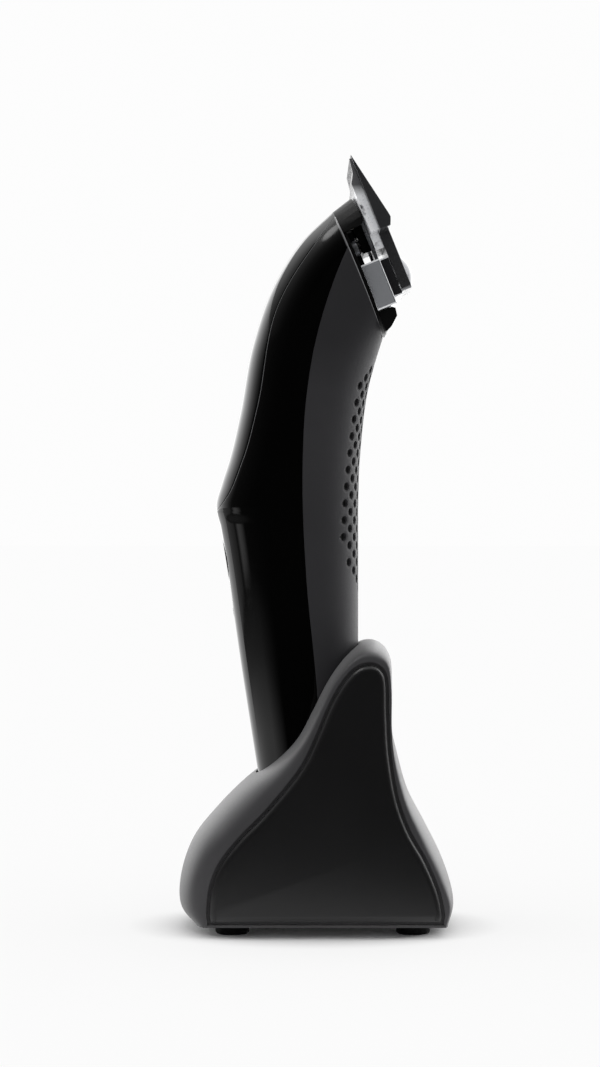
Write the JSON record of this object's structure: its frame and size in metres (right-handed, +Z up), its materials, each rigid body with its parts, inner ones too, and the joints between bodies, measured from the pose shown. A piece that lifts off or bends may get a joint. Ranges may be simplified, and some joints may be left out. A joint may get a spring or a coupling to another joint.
{
  "type": "hair clipper",
  "caption": "Cordless hair trimmer with a wide T-shaped blade, standing in a charging stand that it lifts out of.",
  "frame": {"origin": "middle of the stand's underside, on the table", "axes": "+Z up, +X from the thumb side to the back of the clipper, +Y across the width"},
  "size_m": [0.0622, 0.05, 0.1744],
  "materials": {
    "gloss_black": "polished",
    "matte_grey": "fine matte texture",
    "satin_black": "satin",
    "stand_black": "satin",
    "polished_steel": "polished",
    "blade_steel": "dark, finely ground",
    "plain_steel": "zinc plated",
    "rubber_black": "matte",
    "contact_gold": "plated",
    "copper": "bare",
    "board_green": "lacquered",
    "inner_plastic": "moulded",
    "pale_plastic": "moulded",
    "clear_plastic": "clear",
    "cell_wrap": "shrink wrap",
    "magnet_grey": "sintered"
  },
  "bodies": {
    "stand": {"stand_shell": "stand_black", "side_panel_left": "satin_black", "side_panel_right": "satin_black", "base_plate": "stand_black", "rubber_feet": "rubber_black", "base_screws": "plain_steel", "contact_holder": "inner_plastic", "pin_spring_left": "plain_steel", "pin_spring_right": "plain_steel", "stand_board": "board_green", "dc_inlet": "inner_plastic", "inlet_pin": "plain_steel"},
    "pin_left": {"contact_pin_left": "contact_gold"},
    "pin_right": {"contact_pin_right": "contact_gold"},
    "clipper": {"front_housing": "gloss_black", "rear_housing": "matte_grey", "front_cover": "gloss_black", "head_cap": "satin_black", "chin": "satin_black", "bottom_cap": "satin_black", "bottom_screws": "plain_steel", "charge_contacts": "contact_gold", "tactile_switch": "plain_steel", "circuit_board": "board_green", "light_pipe": "clear_plastic", "battery_cell": "cell_wrap", "battery_tabs": "plain_steel", "battery_cradle": "inner_plastic", "battery_leads": "inner_plastic", "motor_can": "plain_steel", "motor_magnets": "magnet_grey", "motor_end_cap": "pale_plastic", "motor_brushes": "copper", "motor_bracket": "inner_plastic", "motor_screws": "plain_steel", "motor_leads": "inner_plastic", "drive_bush": "contact_gold", "shaft_seal": "rubber_black", "blade_block": "polished_steel", "block_screws": "plain_steel", "head_screws": "plain_steel", "fixed_blade": "blade_steel", "blade_screws": "polished_steel", "blade_spring": "plain_steel"},
    "button": {"power_button": "satin_black", "switch_plunger": "inner_plastic"},
    "rotor": {"motor_armature": "copper", "commutator": "copper", "motor_shaft": "plain_steel", "eccentric_cam": "pale_plastic"},
    "cutter": {"moving_blade": "polished_steel", "drive_yoke": "satin_black"}
  },
  "joints": [
    {"name": "clipper_lift", "type": "slide", "parent": "stand", "child": "clipper", "axis": [-0.0776, 0, 0.997], "range_m": [0, 0.06]},
    {"name": "motor_spin", "type": "hinge", "parent": "clipper", "child": "rotor", "pos_m": [-0.004, 0, 0.118], "axis": [0.3206, 0, 0.9472], "continuous": true},
    {"name": "cutter_slide", "type": "slide", "parent": "clipper", "child": "cutter", "axis": [0, 1, 0], "range_m": [-0.001, 0.001]},
    {"name": "button_press", "type": "slide", "parent": "clipper", "child": "button", "axis": [0.988, 0, 0.1547], "range_m": [0, 0.0006], "stiffness_N_per_m": 800},
    {"name": "pin_left_press", "type": "slide", "parent": "stand", "child": "pin_left", "axis": [0, 0, 1], "range_m": [-0.001, 0], "stiffness_N_per_m": 150, "deforming": ["pin_spring_left"]},
    {"name": "pin_right_press", "type": "slide", "parent": "stand", "child": "pin_right", "axis": [0, 0, 1], "range_m": [-0.001, 0], "stiffness_N_per_m": 150, "deforming": ["pin_spring_right"]}
  ]
}
